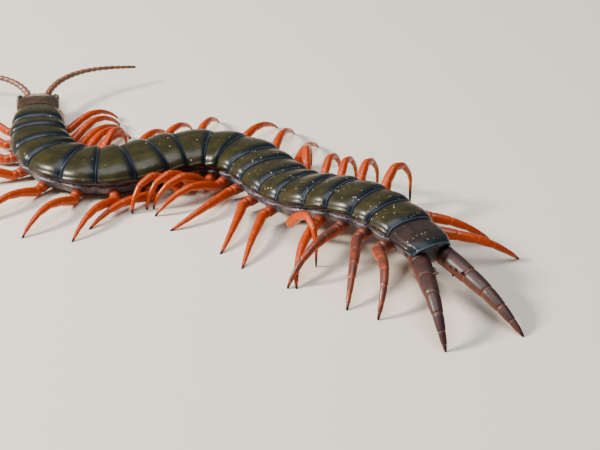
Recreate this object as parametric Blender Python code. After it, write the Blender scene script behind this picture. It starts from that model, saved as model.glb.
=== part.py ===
"""Giant centipede, a still life-size model in a walking pose.

The trunk has twenty-one plated segments along one smooth winding spine, with a pair of jointed
legs on each, thick trailing legs on the last, and a flat head with antennae and poison claws.
Sizes are in millimetres, and metres only where a mesh is made. +X runs towards the tail, +Y
towards the head, +Z up, and every foot stands at z = 0.
"""

import math

import bmesh
import bpy
import numpy as np

MM = 0.001
GAP = 0.32  # clearance left between neighbouring nodes

# Trunk: the spine passes through these places at the height of the back plates' side edges
SPINE_ROUTE = (
    (25.2, -28.6, 7.0),
    (21.1, -21.4, 7.6),
    (14.6, -10.8, 8.3),
    (7.0, -4.1, 7.9),
    (-0.4, 2.4, 5.7),
    (-5.7, 10.4, 4.9),
    (-11.8, 17.9, 4.6),
    (-20.0, 19.2, 4.4),
    (-28.2, 15.6, 4.2),
    (-36.2, 13.4, 4.2),
    (-43.2, 16.6, 4.2),
    (-46.8, 23.6, 4.3),
    (-48.0, 32.4, 4.4),
    (-49.0, 42.0, 4.6),
)
TAIL_START = 8.15  # distance along the route where the last back plate ends
BODY_CENTRE = (-16.323, 7.725)  # place of the model's own centre on that ground plan

PLATE_LENGTHS = (
    5.2, 3.7, 5.2, 3.9, 5.4, 4.2, 5.0, 5.6, 4.4, 5.6, 4.5,
    5.6, 4.5, 5.6, 4.5, 5.6, 4.5, 5.6, 4.5, 5.8, 6.6,
)
SEGMENTS = len(PLATE_LENGTHS)
SEGMENTS_PER_LENGTH = 3

TRUNK_WIDTH = 12.0  # across the back plates at mid body
TAIL_NARROWING, TAIL_TAPER = 0.34, 17.0  # share of width lost at the tail, and over what length
NECK_NARROWING, NECK_TAPER = 0.33, 9.0
PLATE_RISE = 0.40  # height of the back's arch as a share of its half width
PLATE_LIFT = 0.42  # how far a plate's rear edge stands above the next plate
PLATE_EDGE = 0.42  # thickness of a plate's side rim
UNDERCUT = 0.22  # how far the next plate tucks in under that edge
BELLY_DEPTH = 3.5  # belly below the plates' side edges, at mid body

# Walking legs
COXA_AT = (0.52, 0.80)  # where a leg stands along its segment, on the first and the last
COXA_SHIFT_POWER = 12  # how late along the trunk that place moves back
COXA_DROP = 2.35
COXA_RADIUS = 0.88
COXA_OUT = 0.55  # how far the coxa stands out of the flank
COXA_ROOT = 0.42  # where it starts inside the trunk, as a share of the half width
COXA_FLANK = 0.92  # where it meets the flank, as a share of the half width
COXA_TURN, COXA_DROOP = 0.15, 0.16  # share of the leg's swing that it follows, and its fall
TROCHANTER = 0.75  # short length between the coxa and the prefemur
LEG_SIDES = 6
PODOMERES = (3.6, 2.9, 2.8, 2.5, 1.5, 1.1)  # prefemur, femur, tibia, tarsus 1, tarsus 2, claw
LEG_RADIUS = 0.86
FULL_SIZE_HALF_WIDTH = 5.5  # half width of a segment whose legs have just these sizes
FOOT_RADIUS = 0.13
BEND_SHARES = (0.16, 0.30, 0.26, 0.16, 0.12)  # of the leg's whole bend, joint by joint
# Pose of each leg, first pair to twentieth, in degrees: swing from straight sideways (forward
# positive), lift of its first length above level, and how far its heading curls root to tip
POSES = {
    "left": {
        "swing": (34, 24, 16, 12, 5, 21, 39, 69, 65, 55, 44, 11, -12, -43, -40, -62, -29, 3, -38, -51),
        "lift": (18, 22, 18, 22, 18, 22, 18, 9, 48, 48, 42, 25, 6, 3, 0, 46, -4, 5, -5, 6),
        "curl": (9, 7, 6, 4, 1, -2, 1, 15, 38, 0, -38, -31, -38, -16, -2, -36, 25, -20, -6, -38),
    },
    "right": {
        "swing": (39, 42, 40, 28, 9, -11, -60, -55, -52, -25, -17, 26, 39, 48, 26, 17, 9, 0, -39, -26),
        "lift": (18, 24, 18, 27, 20, 48, 9, 23, 24, 20, 18, 20, 16, 48, 48, 48, 48, 48, -4, -4),
        "curl": (8, 6, 4, 2, -5, -3, 38, 0, -4, 0, 2, 12, 10, 38, 38, 38, 38, 38, -32, -36),
    },
}
REAR_REACH = 0.22  # how much longer the twentieth legs are than the seventeenth
REAR_GIRTH = 0.34  # how much thicker the twentieth legs are than the sixteenth
WALK_TAPER = (1.0, 0.90, 0.76, 0.60, 0.46, 0.34)  # radius of each podomere against the first

# Trailing legs of the last segment
TRAIL_ROOT = (0.6, 2.05, -1.35)  # ahead of the last plate's rear edge, to the side, up
TRAIL_SPREAD, TRAIL_DROOP = 0.22, 0.12  # how far its first direction turns out and down
TRAIL_TROCHANTER = 0.9
SIDE_PIECE_END = 1.0  # how far behind that root the side piece ends
TRAIL_PODOMERES = (5.7, 4.5, 3.7, 2.9, 2.1, 1.1)
TRAIL_RADIUS = 1.75
TRAIL_TAPER = (1.0, 0.88, 0.72, 0.54, 0.38, 0.24)
# Heading on the floor, lift of the first length and curl root to tip, in degrees
TRAIL_POSES = {"left": (-76, 6, 16), "right": (-52, -8, -5)}
# Small spines of the prefemur: share of its length, rise of the direction, size
TRAIL_SPINES = ((0.42, 0.30, 0.5), (0.66, 0.45, 0.5), (0.56, -0.35, 0.45), (0.92, 0.62, 1.0))

# Head
HEAD_LENGTH, HEAD_WIDTH = 7.2, 8.0
HEAD_RISE, HEAD_DEPTH = 1.45, 1.75
ANTENNA_LENGTH, ANTENNA_BEADS, ANTENNA_RADIUS = 22.0, 18, 0.68
ANTENNA_TURN, ANTENNA_SPREAD = 0.35, {"left": 0.95, "right": 0.85}  # turn out: at root, added
ANTENNA_LIFT, ANTENNA_FALL = 0.16, 0.42  # rise at its root, and how much it falls by the tip
EYE_LENSES = ((5.05, 3.78, -0.10), (5.60, 3.52, -0.02), (5.30, 3.66, 0.36), (5.02, 3.62, 0.62))
# Poison claws: centre of their curve ahead of the neck, its reach ahead, its start and reach out
CLAW_CENTRE, CLAW_AHEAD, CLAW_START, CLAW_OUT = 2.9, 3.7, 0.95, 2.75
CLAW_TURN = (-18, 108)  # degrees along that curve, root and tip
CLAW_RADII = (0.95, 1.12, 1.12, 1.0, 0.82, 0.6, 0.36, 0.1)


def unit(v):
    """The vector made one long."""
    return np.asarray(v, float) / np.linalg.norm(v)


def smooth_route(points, step=0.05):
    """Points every step along the natural cubic spline through the given points."""
    p = np.array(points, float)
    knots = np.concatenate([[0], np.cumsum(np.linalg.norm(np.diff(p, axis=0), axis=1))])
    h = np.diff(knots)
    n = len(p)
    lhs, rhs = np.eye(n), np.zeros((n, 3))
    for i in range(1, n - 1):
        lhs[i, i - 1 : i + 2] = h[i - 1], 2 * (h[i - 1] + h[i]), h[i]
        rhs[i] = 6 * ((p[i + 1] - p[i]) / h[i] - (p[i] - p[i - 1]) / h[i - 1])
    bend = np.linalg.solve(lhs, rhs)
    t = np.arange(0, knots[-1], step)
    i = np.clip(np.searchsorted(knots, t, side="right") - 1, 0, n - 2)
    a, b, w = (knots[i + 1] - t)[:, None], (t - knots[i])[:, None], h[i][:, None]
    curve = (bend[i] * a**3 + bend[i + 1] * b**3) / (6 * w)
    return curve + (p[i] / w - bend[i] * w / 6) * a + (p[i + 1] / w - bend[i + 1] * w / 6) * b


class Spine:
    """The trunk's centre line, read by distance s forward from the last plate's rear edge."""

    def __init__(self):
        """Shifts the route so that the model's own centre is at the origin."""
        self.points = smooth_route(SPINE_ROUTE) - np.array([*BODY_CENTRE, 0.0])
        run = np.cumsum(np.linalg.norm(np.diff(self.points, axis=0), axis=1))
        self.s = np.concatenate([[0], run]) - TAIL_START
        self.tangents = np.gradient(self.points, axis=0)

    def frame(self, s):
        """Place, forward, left and up at distance s."""
        place = np.array([np.interp(s, self.s, self.points[:, k]) for k in range(3)])
        forward = unit([np.interp(s, self.s, self.tangents[:, k]) for k in range(3)])
        left = unit(np.cross((0, 0, 1), forward))
        return place, forward, left, np.cross(forward, left)

    def at(self, s, left=0.0, up=0.0, forward=0.0):
        """A point by its offsets from the spine at s."""
        place, ahead, side, above = self.frame(s)
        return place + ahead * forward + side * left + above * up


SPINE = Spine()
TRUNK_LENGTH = sum(PLATE_LENGTHS)
# Distance of each plate's rear edge from the tail, first plate to last, then the neck's own
REAR = [sum(PLATE_LENGTHS[i + 1 :]) for i in range(SEGMENTS)]
FRONT = [REAR[i] + PLATE_LENGTHS[i] for i in range(SEGMENTS)]


def half_width(s):
    """Half the trunk's width at s: full at mid body, narrowing towards tail and neck."""
    tail = TAIL_NARROWING * math.exp(-max(s, 0) / TAIL_TAPER)
    neck = NECK_NARROWING * math.exp(-max(TRUNK_LENGTH - s, 0) / NECK_TAPER)
    return TRUNK_WIDTH / 2 * (1 - tail - neck)


def trunk_section(half, lift, flank, rim=1.0):
    """One cross-section as (left, up) pairs: arched plate, rim, bulging flank, flat belly.

    half is the plate's half width, lift raises the plate, flank scales the soft side wall.
    """
    rise = PLATE_RISE * half
    depth = BELLY_DEPTH * (0.45 + 0.55 * half / (TRUNK_WIDTH / 2))
    side = []
    for angle in (26, 52, 78):
        a = math.radians(angle)
        side.append((half * math.sin(a) ** 0.95, rise * math.cos(a) ** 0.85 + lift))
    side += [
        (half * 0.995, lift - PLATE_EDGE * rim),
        (half * 0.90 * flank, lift * 0.3 - 0.72),
        (half * 0.92 * flank, -0.42 * depth),
        (half * 0.80 * flank, -0.78 * depth),
        (half * 0.58, -0.99 * depth),
    ]
    mirrored = [(-x, z) for x, z in reversed(side)]
    return [(0.0, rise + lift), *side, (0.0, -1.02 * depth), *mirrored]


def plate_rings(i):
    """The sections of segment i from its front edge to its rear edge, as (s, section)."""
    length = PLATE_LENGTHS[i]
    rings = []
    # share of the way back, share of the lift, width, flank
    steps = ((0.0, 0.0, 0.93, 0.82), (0.2, 0.3, 0.99, 0.93), (0.62, 0.8, 1.0, 1.0), (1.0, 1.0, 0.965, 0.94))
    for back, lift, wide, flank in steps:
        s = FRONT[i] - back * length
        flank *= 0.86 if i == SEGMENTS - 1 else 1.0
        rings.append((s, trunk_section(half_width(s) * wide, PLATE_LIFT * lift, flank)))
    return rings


def tail_rings():
    """Sections behind the last plate: its rounded rear edge, then the blunt end piece."""
    half = half_width(0)
    # distance along the spine, width, lift
    steps = ((0.0, 0.90, 1.0), (-0.35, 0.76, 0.92), (-0.62, 0.55, 0.7))
    return [(s, trunk_section(half * wide, PLATE_LIFT * lift, 0.84)) for s, wide, lift in steps]


def mesh_of(points, faces):
    """A closed mesh from points in millimetres and faces, its faces turned to point out."""
    mesh = bpy.data.meshes.new("piece")
    mesh.from_pydata([tuple(np.asarray(p) * MM) for p in points], [], faces)
    whole = bmesh.new()
    whole.from_mesh(mesh)
    bmesh.ops.triangulate(whole, faces=[f for f in whole.faces if len(f.verts) > 4])
    bmesh.ops.recalc_face_normals(whole, faces=whole.faces)
    whole.to_mesh(mesh)
    whole.free()
    return mesh


def loft(rings):
    """A closed mesh skinned over rings of equally many points, with flat ends."""
    count = len(rings[0])
    points = [p for ring in rings for p in ring]
    faces = [tuple(range(count)), tuple(reversed(range(len(points) - count, len(points))))]
    for r in range(len(rings) - 1):
        for k in range(count):
            a, b = r * count + k, r * count + (k + 1) % count
            faces += [(a, b, b + count), (a, b + count, a + count)]
    return mesh_of(points, faces)


def ring_at(centre, across, above, radius, sides=LEG_SIDES, flat=1.0):
    """A ring of points round centre, in the plane of the two directions."""
    turns = [2 * math.pi * (k + 0.5) / sides for k in range(sides)]
    return [
        centre + radius * (across * math.cos(a) + above * math.sin(a) * flat) for a in turns
    ]


def tube(path, radii, across, sides=LEG_SIDES, flat=1.0):
    """A tube along path with a radius at each point; across gives each ring's level direction."""
    path = np.array(path, float)
    rings = []
    for k, (p, r) in enumerate(zip(path, radii)):
        before, after = path[max(k - 1, 0)], path[min(k + 1, len(path) - 1)]
        along = unit(after - before)
        level = unit(across[k] - along * np.dot(across[k], along))
        rings.append(ring_at(p, level, np.cross(along, level), r, sides, flat))
    return rings


def material(name, colour, roughness):
    """A plain glossy finish."""
    made = bpy.data.materials.get(name) or bpy.data.materials.new(name)
    made.use_nodes = True
    shader = made.node_tree.nodes["Principled BSDF"]
    shader.inputs["Base Color"].default_value = (*colour, 1.0)
    shader.inputs["Roughness"].default_value = roughness
    return made


def largest_surface(mesh):
    """Keeps only the closed surface of greatest volume, so that the node is one body."""
    whole = bmesh.new()
    whole.from_mesh(mesh)
    whole.verts.ensure_lookup_table()
    seen, islands = set(), []
    for start in whole.verts:
        if start.index in seen:
            continue
        group, queue = [], [start]
        seen.add(start.index)
        while queue:
            vert = queue.pop()
            group.append(vert)
            for edge in vert.link_edges:
                other = edge.other_vert(vert)
                if other.index not in seen:
                    seen.add(other.index)
                    queue.append(other)
        islands.append(group)

    def extent(group):
        places = np.array([v.co for v in group])
        return float(np.prod(places.max(0) - places.min(0) + 1e-9))

    for group in sorted(islands, key=extent)[:-1]:
        bmesh.ops.delete(whole, geom=group, context="VERTS")
    whole.to_mesh(mesh)
    whole.free()


def add_node(name, meshes, finish, parent, solver="EXACT"):
    """One named object from one or more closed meshes, joined by a Boolean union."""
    node = bpy.data.objects.new(name, meshes[0])
    bpy.context.scene.collection.objects.link(node)
    if len(meshes) > 1:
        others = bpy.data.collections.new(name + " pieces")
        bpy.context.scene.collection.children.link(others)
        for mesh in meshes[1:]:
            others.objects.link(bpy.data.objects.new("piece", mesh))
        union = node.modifiers.new("join", "BOOLEAN")
        union.operation = "UNION"
        union.operand_type = "COLLECTION"
        union.collection = others
        union.solver = solver
        bpy.context.view_layer.update()
        graph = bpy.context.evaluated_depsgraph_get()
        joined = bpy.data.meshes.new_from_object(node.evaluated_get(graph))
        node.modifiers.clear()
        node.data = joined
        for piece in list(others.objects):
            bpy.data.objects.remove(piece)
        bpy.data.collections.remove(others)
        largest_surface(node.data)
    node.data.materials.clear()
    node.data.materials.append(finish)
    node.data.shade_smooth()
    node.data.set_sharp_from_angle(angle=math.radians(35))
    node.parent = parent
    return node


def coxa_place(i):
    """Distance along the spine at which segment i carries its legs."""
    share = COXA_AT[0] + (COXA_AT[1] - COXA_AT[0]) * (i / (SEGMENTS - 2)) ** COXA_SHIFT_POWER
    return FRONT[i] - share * PLATE_LENGTHS[i]


def coxa_frame(i, side):
    """Centre of a coxa's root inside the trunk, its outward direction, and its own length."""
    sign = 1 if side == "left" else -1
    s = coxa_place(i)
    swing = math.radians(POSES[side]["swing"][i])
    _, forward, left, up = SPINE.frame(s)
    turned = COXA_TURN * swing
    out = sign * left * math.cos(turned) + forward * math.sin(turned) - up * COXA_DROOP
    reach = half_width(s) * COXA_ROOT
    root = SPINE.at(s, sign * reach, -COXA_DROP * scale_at(s))
    return root, unit(out), half_width(s) * COXA_FLANK + COXA_OUT - reach


def scale_at(s):
    """Size of legs and flanks at s, by the trunk's width there."""
    return 0.35 + 0.65 * half_width(s) / FULL_SIZE_HALF_WIDTH


def girth(i):
    """Extra thickness of the legs of segment i, growing over the last four pairs."""
    return 1 + REAR_GIRTH * max(0, i - 15) / 4


def coxa(i, side):
    """The short basal ring of a leg, rooted in the trunk's flank."""
    root, out, length = coxa_frame(i, side)
    size = scale_at(FRONT[i]) * girth(i)
    level = unit(np.cross((0, 0, 1), out))
    above = np.cross(out, level)
    radii = ((0.0, 1.02), (0.78, 1.1), (1.0, 0.94))
    rings = [
        ring_at(root + out * length * t, level, above, COXA_RADIUS * size * r) for t, r in radii
    ]
    return loft(rings)


def chain(start, heading, first, bend, lengths, hook):
    """Joint places of a leg in its upright plane; heading turns by hook from root to tip."""
    joints, down = [np.array(start, float)], first
    for k, length in enumerate(lengths):
        turn = heading + hook * (k / (len(lengths) - 1) - 0.5)
        flat = math.cos(down) * length
        step = (flat * math.cos(turn), flat * math.sin(turn), math.sin(down) * length)
        joints.append(joints[-1] + np.array(step))
        if k < len(BEND_SHARES):
            down -= bend * BEND_SHARES[k]
    return joints


def standing_chain(start, heading, first, lengths, hook):
    """The chain whose whole bend brings the claw's tip down to the floor."""
    low, high = 0.0, math.radians(140)
    for _ in range(50):
        bend = (low + high) / 2
        if chain(start, heading, first, bend, lengths, hook)[-1][2] > 0:
            low = bend
        else:
            high = bend
    joints = chain(start, heading, first, bend, lengths, hook)
    joints[-1][2] = 0.0
    return joints


def leg_rings(start, out, joints, radius, taper):
    """Rings of a leg: trochanter, then each podomere swelling towards its far joint.

    taper is the radius of each podomere as a share of the first one's.
    """
    path, radii = [np.array(start)], [radius * 0.94]
    for k in range(len(joints) - 2):
        a, b = joints[k], joints[k + 1]
        wide = radius * taper[k]
        path.append(a + (b - a) * 0.08)
        radii.append(wide * 0.84)
        path.append(a + (b - a) * 0.92)
        radii.append(wide * (1.0 if k < 3 else 0.86))
    path.append(joints[-2] + (joints[-1] - joints[-2]) * 0.12)
    radii.append(radius * taper[-1])
    path.append(joints[-1])
    radii.append(FOOT_RADIUS)
    level = [unit(np.cross((0, 0, 1), out))]
    for k in range(1, len(path)):
        across = np.cross((0, 0, 1), path[min(k + 1, len(path) - 1)] - path[k - 1])
        across = unit(across + level[-1] * 1e-3)
        level.append(across if np.dot(across, level[-1]) > 0 else -across)
    rings = tube(path, radii, level)
    first_level = unit(np.cross((0, 0, 1), out))
    rings[0] = ring_at(path[0], first_level, np.cross(out, first_level), radii[0])
    rings[-1] = ring_at(path[-1], level[-1], np.cross(level[-1], (0, 0, 1)), FOOT_RADIUS)
    return rings


def walking_leg(i, side):
    """One walking leg from its root just off the coxa to its claw on the floor."""
    sign = 1 if side == "left" else -1
    root, out, length = coxa_frame(i, side)
    s = coxa_place(i)
    _, forward, left, _ = SPINE.frame(s)
    swing, lift, curl = (math.radians(POSES[side][key][i]) for key in ("swing", "lift", "curl"))
    aim = sign * left * math.cos(swing) + forward * math.sin(swing)
    heading = math.atan2(aim[1], aim[0])
    size = scale_at(s)
    reach = size * (1 + REAR_REACH * max(0, i - 16) / 3)
    start = root + out * (length + GAP)
    knee = start + out * TROCHANTER * size
    joints = standing_chain(knee, heading, lift, [p * reach for p in PODOMERES], sign * curl)
    return loft(leg_rings(start, out, joints, LEG_RADIUS * size * girth(i), WALK_TAPER))


def trailing_base(side):
    """Root and outward direction of a trailing leg, on the rear of the last segment."""
    sign = 1 if side == "left" else -1
    ahead, across, rise = TRAIL_ROOT
    _, forward, left, up = SPINE.frame(-ahead)
    root = SPINE.at(ahead, sign * across, rise)
    return root, unit(-forward + sign * left * TRAIL_SPREAD - up * TRAIL_DROOP)


def coxopleuron(side):
    """Side piece of the last segment that holds a trailing leg, with its short rear spine."""
    sign = 1 if side == "left" else -1
    root, out = trailing_base(side)
    level = unit(np.cross((0, 0, 1), out))
    above = np.cross(out, level)
    steps = ((-4.6, 1.15), (-2.0, 1.75), (SIDE_PIECE_END, 1.72))
    rings = [ring_at(root + out * t, level, above, r, flat=0.92) for t, r in steps]
    spine_root = root - out * 0.6 - above * 1.25
    spike = [
        ring_at(spine_root + out * t, level, above, r, sides=5)
        for t, r in ((-0.8, 0.42), (0.9, 0.30), (1.45, 0.08))
    ]
    return [loft(rings), loft(spike)]


def trailing_leg(side):
    """One thick trailing leg, with small spines inside its prefemur."""
    sign = 1 if side == "left" else -1
    root, out = trailing_base(side)
    start = root + out * (SIDE_PIECE_END + GAP)
    heading, lift, curl = (math.radians(angle) for angle in TRAIL_POSES[side])
    knee = start + out * TRAIL_TROCHANTER
    joints = standing_chain(knee, heading, lift, TRAIL_PODOMERES, sign * curl)
    body = loft(leg_rings(start, out, joints, TRAIL_RADIUS, TRAIL_TAPER))
    along = unit(joints[1] - joints[0])
    inner = sign * unit(np.cross((0, 0, 1), along))
    pieces = [body]
    for share, rise, size in TRAIL_SPINES:
        lean = unit(inner + np.array((0, 0, rise)))
        foot = joints[0] + (joints[1] - joints[0]) * share + lean * TRAIL_RADIUS * 0.72
        tip_way = unit(lean + along * 0.55)
        level = unit(np.cross((0, 0, 1), tip_way))
        above = np.cross(tip_way, level)
        length = 0.7 + 0.5 * size
        steps = ((0.0, 0.36), (0.62, 0.24), (1.05, 0.07))
        rings = [ring_at(foot + tip_way * t * length, level, above, r, sides=5) for t, r in steps]
        pieces.append(loft(rings))
    return pieces


def head_frame():
    """Neck place and directions that the head's pieces are set out from."""
    return SPINE.frame(TRUNK_LENGTH)


def head_point(ahead, left, up):
    """A point by its distances ahead of the neck, to the left and up."""
    place, forward, side, above = head_frame()
    return place + forward * ahead + side * left + above * up


def head_half_width(t):
    """Half width of the head plate at share t of its length, by a rounded superellipse."""
    return HEAD_WIDTH / 2 * max(1 - abs((t - 0.36) / 0.72) ** 2.7, 0.02) ** 0.5


def head_meshes():
    """Head capsule: domed plate with a rim above, cheeks and mouthparts below."""
    rings = []
    for t in (0.0, 0.10, 0.26, 0.44, 0.62, 0.78, 0.90, 0.975):
        half = head_half_width(t)
        dome = HEAD_RISE * (0.62 + 0.38 * math.sin(math.pi * min(t + 0.18, 1.0)))
        slope = -1.05 * max(t - 0.5, 0) ** 1.4
        depth = HEAD_DEPTH * (0.9 - 0.45 * max(t - 0.55, 0))
        side = [
            (half * math.sin(math.radians(a)), slope + dome * math.cos(math.radians(a)) ** 0.8)
            for a in (24, 48, 70, 88)
        ]
        side += [(half * 0.985, slope - 0.34), (half * 0.90, slope - 0.55)]
        side += [(half * 0.86, -depth * 0.7), (half * 0.55, -depth)]
        ring = [(0.0, slope + dome), *side, (0.0, -depth * 1.02)]
        ring += [(-x, z) for x, z in reversed(side)]
        rings.append([head_point(GAP / 2 + HEAD_LENGTH * t, x, z) for x, z in ring])
    return [loft(rings)]


def eye_cluster(side):
    """Four small lenses on one low dark patch at the head's front corner."""
    sign = 1 if side == "left" else -1
    _, forward, left, up = head_frame()
    out = unit(sign * left * 0.9 + forward * 0.45 + up * 0.15)
    along = unit(np.cross(up, out))
    patch_centre = head_point(5.25, sign * 3.62, 0.2)
    above = np.cross(out, along)
    rings = [
        ring_at(patch_centre + out * t, along, above, r, sides=8, flat=0.8)
        for t, r in ((GAP, 0.62), (GAP + 0.22, 0.6))
    ]
    pieces = [loft(rings)]
    for ahead, across, rise in EYE_LENSES:
        centre = head_point(ahead, sign * across, rise) + out * (GAP + 0.12)
        lens = [
            ring_at(centre + out * t, along, above, r, sides=6)
            for t, r in ((0.0, 0.26), (0.17, 0.22), (0.27, 0.10))
        ]
        pieces.append(loft(lens))
    return pieces


def antenna(side):
    """A tapering chain of beads, curving forward and out from the head's front edge."""
    sign = 1 if side == "left" else -1
    _, forward, left, up = head_frame()
    base = head_point(HEAD_LENGTH * 0.93, sign * 1.55, -0.35)
    place = base + (forward + sign * left * 0.25) * (GAP + 0.6)
    bead = ANTENNA_LENGTH / ANTENNA_BEADS
    path, radii = [], []
    for k in range(ANTENNA_BEADS):
        share = k / (ANTENNA_BEADS - 1)
        angle = sign * (ANTENNA_TURN + ANTENNA_SPREAD[side] * math.sin(2.1 * share))
        tilt = ANTENNA_LIFT - ANTENNA_FALL * share
        way = unit(forward * math.cos(angle) + left * math.sin(angle) + up * tilt)
        wide = ANTENNA_RADIUS * (1 - 0.58 * share)
        for along, size in ((0.06, 0.80), (0.66, 1.0)):
            path.append(place + way * bead * along)
            radii.append(wide * size)
        place = place + way * bead
    path.append(place - way * bead * 0.05)
    radii.append(ANTENNA_RADIUS * 0.22)
    level = [left] * len(path)
    return [loft(tube(path, radii, level, sides=6))]


def forcipule_plate():
    """The flat plate under the head that carries the poison claws, with its two tooth plates."""
    rings = []
    steps = ((0.0, 2.3, 1.0), (1.2, 2.3, 1.0), (3.0, 2.0, 1.0), (4.2, 1.6, 0.85))
    for ahead, half, thick in steps:
        top, low = -HEAD_DEPTH - 0.36, -HEAD_DEPTH - 0.36 - 1.35 * thick
        ring = [(-half, top - 0.3), (-half * 0.8, top), (half * 0.8, top), (half, top - 0.3)]
        ring += [(half * 0.86, low + 0.25), (half * 0.5, low), (-half * 0.5, low)]
        ring += [(-half * 0.86, low + 0.25)]
        rings.append([head_point(GAP + ahead, x, z) for x, z in ring])
    pieces = [loft(rings)]
    for sign in (1, -1):
        z = -HEAD_DEPTH - 0.95
        corners = ((-0.75, -0.35), (0.75, -0.35), (0.75, 0.35), (-0.75, 0.35))
        rings = [
            [head_point(GAP + a, sign * 0.95 + x * w, z + y * w) for x, y in corners]
            for a, w in ((3.4, 1.0), (4.9, 0.8))
        ]
        pieces.append(loft(rings))
    return pieces


def forcipule(side):
    """One poison claw: thick curved base and sharp hooked tip under the head's front."""
    sign = 1 if side == "left" else -1
    path = []
    for t in np.linspace(0, 1, len(CLAW_RADII)):
        angle = math.radians(CLAW_TURN[0] + (CLAW_TURN[1] - CLAW_TURN[0]) * t)
        ahead = CLAW_CENTRE + CLAW_AHEAD * math.sin(angle) * (0.9 + 0.1 * t)
        across = CLAW_START + CLAW_OUT * math.cos(angle) * (1 - 0.04 * t)
        path.append(head_point(ahead, sign * across, -HEAD_DEPTH - 1.05 - 0.25 * t))
    level = [head_frame()[3]] * len(path)
    return [loft(tube(path, CLAW_RADII, level, sides=8))]


def trunk_length(first, last):
    """Segments first to last, counted from nought, as one stepped body with its coxae."""
    rings = []
    for i in range(first, last + 1):
        for k, (s, section) in enumerate(plate_rings(i)):
            if k == 0:
                s = s - GAP / 2 if i == first else s + UNDERCUT
            if i == last and last < SEGMENTS - 1 and k == 3:
                s += GAP / 2
            rings.append([SPINE.at(s, x, z) for x, z in section])
    if last == SEGMENTS - 1:
        rings = rings[:-1]
        rings += [[SPINE.at(s, x, z) for x, z in section] for s, section in tail_rings()]
    pieces = [loft(rings)]
    for i in range(first, last + 1):
        if i < SEGMENTS - 1:
            pieces += [coxa(i, "left"), coxa(i, "right")]
        else:
            pieces += coxopleuron("left") + coxopleuron("right")
    return pieces


def clear_scene():
    """Removes whatever the scene held."""
    for old in list(bpy.data.objects):
        bpy.data.objects.remove(old)


def build():
    """Makes every node of the centipede."""
    clear_scene()
    body = bpy.data.objects.new("centipede", None)
    bpy.context.scene.collection.objects.link(body)
    plate = material("back plate", (0.075, 0.065, 0.03), 0.3)
    capsule = material("head plate", (0.10, 0.05, 0.025), 0.3)
    orange = material("leg", (0.62, 0.12, 0.02), 0.35)
    dusky = material("trailing leg", (0.16, 0.08, 0.06), 0.35)
    feeler = material("antenna", (0.24, 0.09, 0.03), 0.45)
    lens = material("eye", (0.01, 0.01, 0.012), 0.1)

    for first in range(0, SEGMENTS, SEGMENTS_PER_LENGTH):
        last = min(first + SEGMENTS_PER_LENGTH, SEGMENTS) - 1
        name = f"trunk_segments_{first + 1:02d}_{last + 1:02d}"
        # The steps fold over one another, which the exact solver leaves as doubled seams
        add_node(name, trunk_length(first, last), plate, body, solver="MANIFOLD")
    for side in ("left", "right"):
        for i in range(SEGMENTS - 1):
            add_node(f"leg_{side}_{i + 1:02d}", [walking_leg(i, side)], orange, body)
        add_node(f"trailing_leg_{side}", trailing_leg(side), dusky, body)
        add_node(f"antenna_{side}", antenna(side), feeler, body)
        add_node(f"poison_claw_{side}", forcipule(side), capsule, body)
        add_node(f"eyes_{side}", eye_cluster(side), lens, body)
    add_node("head", head_meshes(), capsule, body)
    add_node("poison_claw_plate", forcipule_plate(), capsule, body)


build()
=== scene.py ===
"""A giant centipede as a still, life-size model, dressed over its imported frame.

The pieces are made in the order in which the animal is put together: the soft trunk skin on its
winding line, the side plates and breathing holes, the belly plates, the back plates, the walking
legs, the trailing legs, the head with its eyes, antennae and poison claws, and last the floor,
light and camera. Sizes are in millimetres and become metres where a mesh is made. +X is to the
right in the photograph's view and +Y is away from the camera.
"""

import math

import bmesh
import bpy
import numpy as np
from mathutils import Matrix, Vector


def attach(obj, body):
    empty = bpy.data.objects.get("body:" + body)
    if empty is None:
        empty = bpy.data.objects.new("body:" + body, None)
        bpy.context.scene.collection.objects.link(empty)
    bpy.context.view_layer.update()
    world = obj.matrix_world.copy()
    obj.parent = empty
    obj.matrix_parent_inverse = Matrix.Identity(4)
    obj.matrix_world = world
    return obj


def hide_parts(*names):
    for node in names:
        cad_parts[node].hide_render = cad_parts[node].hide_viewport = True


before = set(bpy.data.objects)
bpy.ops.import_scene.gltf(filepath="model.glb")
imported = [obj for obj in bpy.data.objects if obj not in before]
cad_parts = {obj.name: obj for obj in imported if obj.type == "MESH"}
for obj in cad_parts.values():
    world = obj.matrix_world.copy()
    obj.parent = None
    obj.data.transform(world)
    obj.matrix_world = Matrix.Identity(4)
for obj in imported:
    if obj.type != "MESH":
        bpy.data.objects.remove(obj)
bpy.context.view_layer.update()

# The trunk's soft skin
# A tube of tough grey-mauve skin that joins every plate. It bulges round each leg's root, folds
# in between the segments and closes under the last plate. Everything else is set out from it.
MM = 0.001
SEGMENTS = 21
BODY_CENTRE = (-16.323, 7.725)
SPINE_ROUTE = (
    (25.2, -28.6, 7.0),
    (21.1, -21.4, 7.6),
    (14.6, -10.8, 8.3),
    (7.0, -4.1, 7.9),
    (-0.4, 2.4, 5.7),
    (-5.7, 10.4, 4.9),
    (-11.8, 17.9, 4.6),
    (-20.0, 19.2, 4.4),
    (-28.2, 15.6, 4.2),
    (-36.2, 13.4, 4.2),
    (-43.2, 16.6, 4.2),
    (-46.8, 23.6, 4.3),
    (-48.0, 32.4, 4.4),
    (-49.0, 42.0, 4.6),
)
TAIL_START = 8.15
PLATE_LENGTHS = (
    5.2, 3.7, 5.2, 3.9, 5.4, 4.2, 5.0, 5.6, 4.4, 5.6, 4.5,
    5.6, 4.5, 5.6, 4.5, 5.6, 4.5, 5.6, 4.5, 5.8, 6.6,
)
TRUNK_LENGTH = sum(PLATE_LENGTHS)
REAR = [sum(PLATE_LENGTHS[i + 1 :]) for i in range(SEGMENTS)]
FRONT = [REAR[i] + PLATE_LENGTHS[i] for i in range(SEGMENTS)]
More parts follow.
